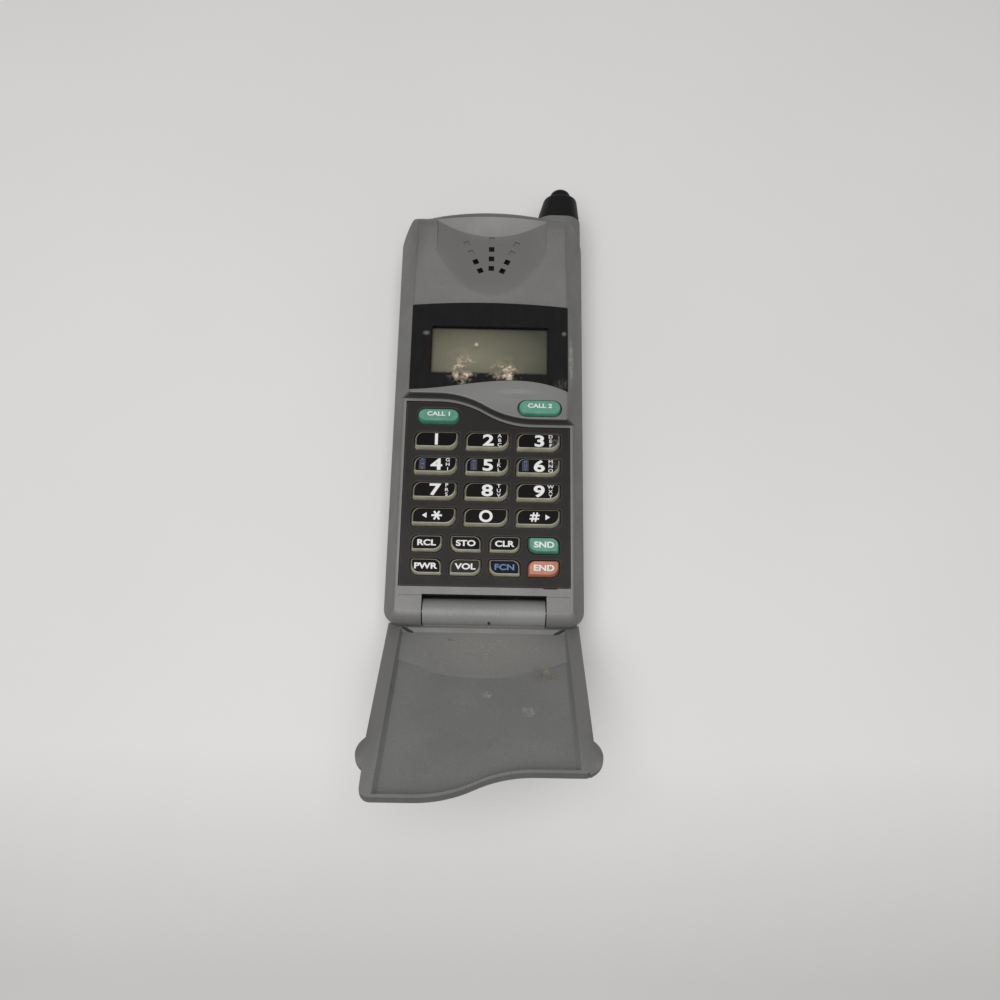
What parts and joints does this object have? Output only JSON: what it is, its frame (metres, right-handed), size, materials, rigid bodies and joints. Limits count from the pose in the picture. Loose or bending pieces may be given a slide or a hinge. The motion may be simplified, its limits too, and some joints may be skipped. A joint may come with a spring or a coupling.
{
  "type": "flip cell phone",
  "caption": "Handheld flip cell phone with a hinged keypad cover, pull-out antenna, small display, pressable keys and a slide-off battery.",
  "frame": {"origin": "centre of the battery pack's flat back face", "axes": "+Z from the back to the keys, +Y from the flip's hinge to the earpiece, +X to the right as the keys are read"},
  "size_m": [0.0582, 0.1859, 0.0596],
  "materials": {
    "housing": "fine spark-eroded grain",
    "battery_plastic": "fine spark-eroded grain",
    "latch_plastic": "fine grain",
    "bezel": "fine grain",
    "silicone": "matt",
    "gold_plate": "plated",
    "lens": "polished",
    "black_print": "printed",
    "lcd": "satin polariser",
    "white_plastic": "satin",
    "black_rubber": "matt",
    "circuit_board": "solder resist",
    "tin_plate": "plated",
    "speaker_metal": "satin",
    "black_plastic": "satin",
    "steel": "bright",
    "antenna_black": "matt",
    "nickel": "plated",
    "cell_sleeve": "sleeved",
    "key_rubber": "silicone with printed top",
    "key_teal": "silicone with printed top",
    "key_salmon": "silicone with printed top"
  },
  "bodies": {
    "handset": {"front_housing": "housing", "rear_housing": "housing", "keypad_bezel": "bezel", "keypad_mat": "silicone", "keypad_contact_pads": "gold_plate", "display_lens": "lens", "display_mask": "black_print", "lcd_glass": "lcd", "lcd_frame": "white_plastic", "lcd_light_guide": "white_plastic", "lcd_connector_strips": "black_rubber", "main_board": "circuit_board", "rf_board": "circuit_board", "rf_shield_can": "tin_plate", "earpiece_speaker": "speaker_metal", "earpiece_gasket": "black_rubber", "microphone": "speaker_metal", "microphone_boot": "black_rubber", "ringer": "black_plastic", "accessory_connector": "black_plastic", "battery_contacts": "gold_plate", "housing_screws": "steel", "hinge_shaft": "steel", "latch_spring": "steel", "antenna_collar": "antenna_black"},
    "flip": {"flip_inner_panel": "housing", "flip_outer_cover": "housing", "hinge_bushes": "white_plastic", "hinge_spring": "steel"},
    "antenna": {"antenna_mast": "nickel", "antenna_knob": "antenna_black", "antenna_stop": "gold_plate"},
    "battery": {"battery_case": "battery_plastic", "battery_lid": "battery_plastic", "battery_cells": "cell_sleeve", "battery_terminals": "gold_plate"},
    "latch": {"battery_latch": "latch_plastic"},
    "key_1": {"key_1": "key_rubber"},
    "key_2": {"key_2": "key_rubber"},
    "key_3": {"key_3": "key_rubber"},
    "key_4": {"key_4": "key_rubber"},
    "key_5": {"key_5": "key_rubber"},
    "key_6": {"key_6": "key_rubber"},
    "key_7": {"key_7": "key_rubber"},
    "key_8": {"key_8": "key_rubber"},
    "key_9": {"key_9": "key_rubber"},
    "key_0": {"key_0": "key_rubber"},
    "key_star": {"key_star": "key_rubber"},
    "key_hash": {"key_hash": "key_rubber"},
    "key_rcl": {"key_rcl": "key_rubber"},
    "key_sto": {"key_sto": "key_rubber"},
    "key_clr": {"key_clr": "key_rubber"},
    "key_snd": {"key_snd": "key_teal"},
    "key_pwr": {"key_pwr": "key_rubber"},
    "key_vol": {"key_vol": "key_rubber"},
    "key_fcn": {"key_fcn": "key_rubber"},
    "key_end": {"key_end": "key_salmon"},
    "key_call_1": {"key_call_1": "key_teal"},
    "key_call_2": {"key_call_2": "key_teal"}
  },
  "joints": [
    {"name": "flip_hinge", "type": "hinge", "parent": "handset", "child": "flip", "pos_m": [0, -0.046, 0.018], "axis": [1, 0, 0], "range_deg": [-133.5, 0]},
    {"name": "antenna_slide", "type": "slide", "parent": "handset", "child": "antenna", "axis": [0, 1, 0], "range_m": [0, 0.066]},
    {"name": "battery_slide", "type": "slide", "parent": "handset", "child": "battery", "axis": [0, -1, 0], "range_m": [0, 0.004]},
    {"name": "latch_press", "type": "slide", "parent": "handset", "child": "latch", "axis": [0, 0, 1], "range_m": [0, 0.002], "deforming": ["latch_spring"]},
    {"name": "key_1_press", "type": "slide", "parent": "handset", "child": "key_1", "axis": [0, 0, -1], "range_m": [0, 0.0008], "stiffness_N_per_m": 800},
    {"name": "key_2_press", "type": "slide", "parent": "handset", "child": "key_2", "axis": [0, 0, -1], "range_m": [0, 0.0008], "stiffness_N_per_m": 800},
    {"name": "key_3_press", "type": "slide", "parent": "handset", "child": "key_3", "axis": [0, 0, -1], "range_m": [0, 0.0008], "stiffness_N_per_m": 800},
    {"name": "key_4_press", "type": "slide", "parent": "handset", "child": "key_4", "axis": [0, 0, -1], "range_m": [0, 0.0008], "stiffness_N_per_m": 800},
    {"name": "key_5_press", "type": "slide", "parent": "handset", "child": "key_5", "axis": [0, 0, -1], "range_m": [0, 0.0008], "stiffness_N_per_m": 800},
    {"name": "key_6_press", "type": "slide", "parent": "handset", "child": "key_6", "axis": [0, 0, -1], "range_m": [0, 0.0008], "stiffness_N_per_m": 800},
    {"name": "key_7_press", "type": "slide", "parent": "handset", "child": "key_7", "axis": [0, 0, -1], "range_m": [0, 0.0008], "stiffness_N_per_m": 800},
    {"name": "key_8_press", "type": "slide", "parent": "handset", "child": "key_8", "axis": [0, 0, -1], "range_m": [0, 0.0008], "stiffness_N_per_m": 800},
    {"name": "key_9_press", "type": "slide", "parent": "handset", "child": "key_9", "axis": [0, 0, -1], "range_m": [0, 0.0008], "stiffness_N_per_m": 800},
    {"name": "key_0_press", "type": "slide", "parent": "handset", "child": "key_0", "axis": [0, 0, -1], "range_m": [0, 0.0008], "stiffness_N_per_m": 800},
    {"name": "key_star_press", "type": "slide", "parent": "handset", "child": "key_star", "axis": [0, 0, -1], "range_m": [0, 0.0008], "stiffness_N_per_m": 800},
    {"name": "key_hash_press", "type": "slide", "parent": "handset", "child": "key_hash", "axis": [0, 0, -1], "range_m": [0, 0.0008], "stiffness_N_per_m": 800},
    {"name": "key_rcl_press", "type": "slide", "parent": "handset", "child": "key_rcl", "axis": [0, 0, -1], "range_m": [0, 0.0008], "stiffness_N_per_m": 800},
    {"name": "key_sto_press", "type": "slide", "parent": "handset", "child": "key_sto", "axis": [0, 0, -1], "range_m": [0, 0.0008], "stiffness_N_per_m": 800},
    {"name": "key_clr_press", "type": "slide", "parent": "handset", "child": "key_clr", "axis": [0, 0, -1], "range_m": [0, 0.0008], "stiffness_N_per_m": 800},
    {"name": "key_snd_press", "type": "slide", "parent": "handset", "child": "key_snd", "axis": [0, 0, -1], "range_m": [0, 0.0008], "stiffness_N_per_m": 800},
    {"name": "key_pwr_press", "type": "slide", "parent": "handset", "child": "key_pwr", "axis": [0, 0, -1], "range_m": [0, 0.0008], "stiffness_N_per_m": 800},
    {"name": "key_vol_press", "type": "slide", "parent": "handset", "child": "key_vol", "axis": [0, 0, -1], "range_m": [0, 0.0008], "stiffness_N_per_m": 800},
    {"name": "key_fcn_press", "type": "slide", "parent": "handset", "child": "key_fcn", "axis": [0, 0, -1], "range_m": [0, 0.0008], "stiffness_N_per_m": 800},
    {"name": "key_end_press", "type": "slide", "parent": "handset", "child": "key_end", "axis": [0, 0, -1], "range_m": [0, 0.0008], "stiffness_N_per_m": 800},
    {"name": "key_call_1_press", "type": "slide", "parent": "handset", "child": "key_call_1", "axis": [0, 0, -1], "range_m": [0, 0.0008], "stiffness_N_per_m": 800},
    {"name": "key_call_2_press", "type": "slide", "parent": "handset", "child": "key_call_2", "axis": [0, 0, -1], "range_m": [0, 0.0008], "stiffness_N_per_m": 800}
  ],
  "couplings": [
    {"joint": "latch_press", "follows": "battery_slide", "ratio": 0.5}
  ]
}
